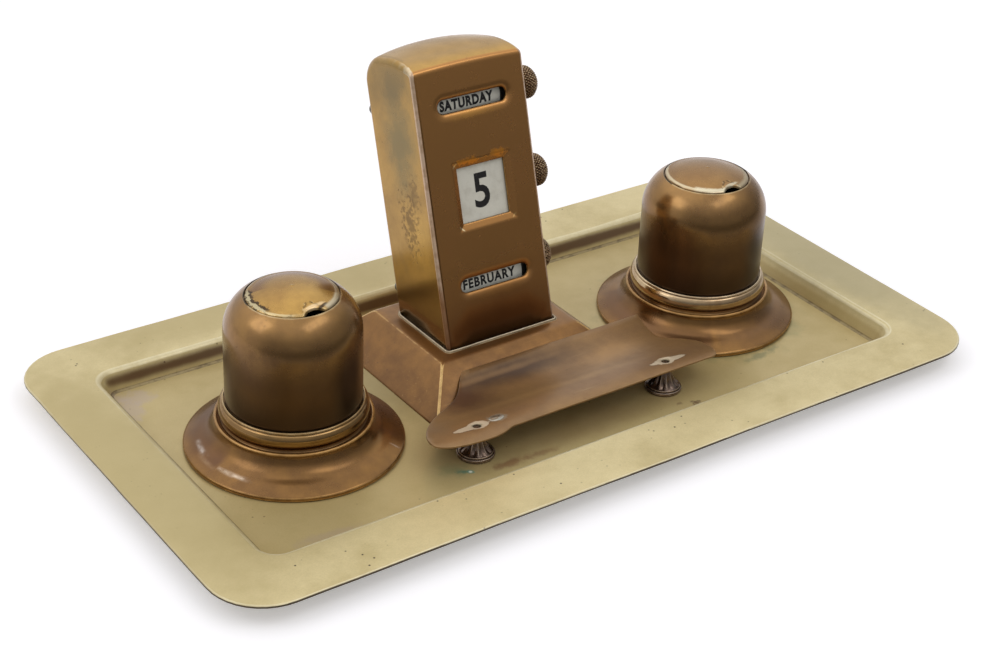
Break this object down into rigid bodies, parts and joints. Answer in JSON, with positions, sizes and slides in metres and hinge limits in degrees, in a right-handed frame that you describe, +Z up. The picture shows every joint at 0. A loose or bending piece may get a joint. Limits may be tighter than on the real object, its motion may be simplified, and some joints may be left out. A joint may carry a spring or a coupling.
{
  "type": "desk inkstand",
  "caption": "Brass desk inkstand: a pressed tray with domed inkwells under lift-off lids, a leaning calendar tower on a hipped plinth with side knobs, and a curved pen rest",
  "frame": {"origin": "centre of the tray's flat underside, where it rests on the desk", "axes": "+X right along the tray's length as the user sits, +Y to the back, +Z up; the pen rest is at the front, -Y"},
  "size_m": [0.33, 0.1802, 0.1178],
  "materials": {
    "tray_brass": "pressed brass, pale olive with a matt tarnish, worn brighter on the edges",
    "plinth_brass": "darker brown brass, lacquer worn and patchy",
    "inkwell_brass": "spun brass, brown patina with turned rings worn bright",
    "tower_brass": "sheet brass, aged lacquer",
    "knob_brass": "turned brass, cross-knurled",
    "screw_steel": "plain steel, dulled",
    "movement_tin": "tinned sheet steel",
    "roller_wood": "turned beech, bare",
    "printed_linen": "paper-faced linen band, off-white, printed black",
    "liner_glass": "clear pressed glass"
  },
  "bodies": {
    "base": {"tray": "tray_brass", "plinth": "plinth_brass", "pen_rest": "plinth_brass", "pen_rest_foot_left": "plinth_brass", "pen_rest_foot_right": "plinth_brass", "inkwell_foot_left": "inkwell_brass", "inkwell_collar_left": "inkwell_brass", "inkwell_foot_right": "inkwell_brass", "inkwell_collar_right": "inkwell_brass", "tower_case": "tower_brass", "back_cover": "tower_brass", "cover_screws": "screw_steel", "base_plate": "movement_tin", "frame_left": "movement_tin", "frame_right": "movement_tin", "frame_pillars": "movement_tin", "frame_screws": "screw_steel", "date_platen": "movement_tin", "date_guides": "movement_tin", "date_strip": "printed_linen", "friction_washers": "knob_brass"},
    "glass_left": {"glass_liner_left": "liner_glass"},
    "cap_left": {"inkwell_cap_left": "inkwell_brass", "lid_seat_left": "inkwell_brass"},
    "lid_left": {"inkwell_lid_left": "inkwell_brass"},
    "glass_right": {"glass_liner_right": "liner_glass"},
    "cap_right": {"inkwell_cap_right": "inkwell_brass", "lid_seat_right": "inkwell_brass"},
    "lid_right": {"inkwell_lid_right": "inkwell_brass"},
    "weekday": {"weekday_spindle": "screw_steel", "weekday_drum": "movement_tin", "weekday_band": "printed_linen", "weekday_knob": "knob_brass"},
    "month": {"month_spindle": "screw_steel", "month_drum": "movement_tin", "month_band": "printed_linen", "month_knob": "knob_brass"},
    "date": {"date_spindle": "screw_steel", "date_roller": "roller_wood", "date_roll": "printed_linen", "date_knob": "knob_brass"},
    "date_return": {"date_return_spindle": "screw_steel", "date_return_roller": "roller_wood", "date_return_roll": "printed_linen", "date_return_knob": "knob_brass"}
  },
  "joints": [
    {"name": "glass_left_lift", "type": "slide", "parent": "base", "child": "glass_left", "axis": [0, 0, 1], "range_m": [0, 0.05]},
    {"name": "cap_left_lift", "type": "slide", "parent": "glass_left", "child": "cap_left", "axis": [0, 0, 1], "range_m": [0, 0.045]},
    {"name": "lid_left_lift", "type": "slide", "parent": "cap_left", "child": "lid_left", "axis": [0, 0, 1], "range_m": [0, 0.03]},
    {"name": "glass_right_lift", "type": "slide", "parent": "base", "child": "glass_right", "axis": [0, 0, 1], "range_m": [0, 0.05]},
    {"name": "cap_right_lift", "type": "slide", "parent": "glass_right", "child": "cap_right", "axis": [0, 0, 1], "range_m": [0, 0.045]},
    {"name": "lid_right_lift", "type": "slide", "parent": "cap_right", "child": "lid_right", "axis": [0, 0, 1], "range_m": [0, 0.03]},
    {"name": "weekday_turn", "type": "hinge", "parent": "base", "child": "weekday", "pos_m": [0, 0.04064, 0.09854], "axis": [1, 0, 0], "continuous": true},
    {"name": "month_turn", "type": "hinge", "parent": "base", "child": "month", "pos_m": [0, 0.02613, 0.03154], "axis": [1, 0, 0], "continuous": true},
    {"name": "date_wind", "type": "hinge", "parent": "base", "child": "date", "pos_m": [0, 0.03121, 0.06546], "axis": [1, 0, 0], "range_deg": [-2450, 3200]},
    {"name": "date_return_wind", "type": "hinge", "parent": "base", "child": "date_return", "pos_m": [0, 0.04428, 0.06169], "axis": [1, 0, 0], "range_deg": [-2450, 3200]}
  ],
  "couplings": [
    {"joint": "date_return_wind", "follows": "date_wind", "ratio": 1}
  ]
}
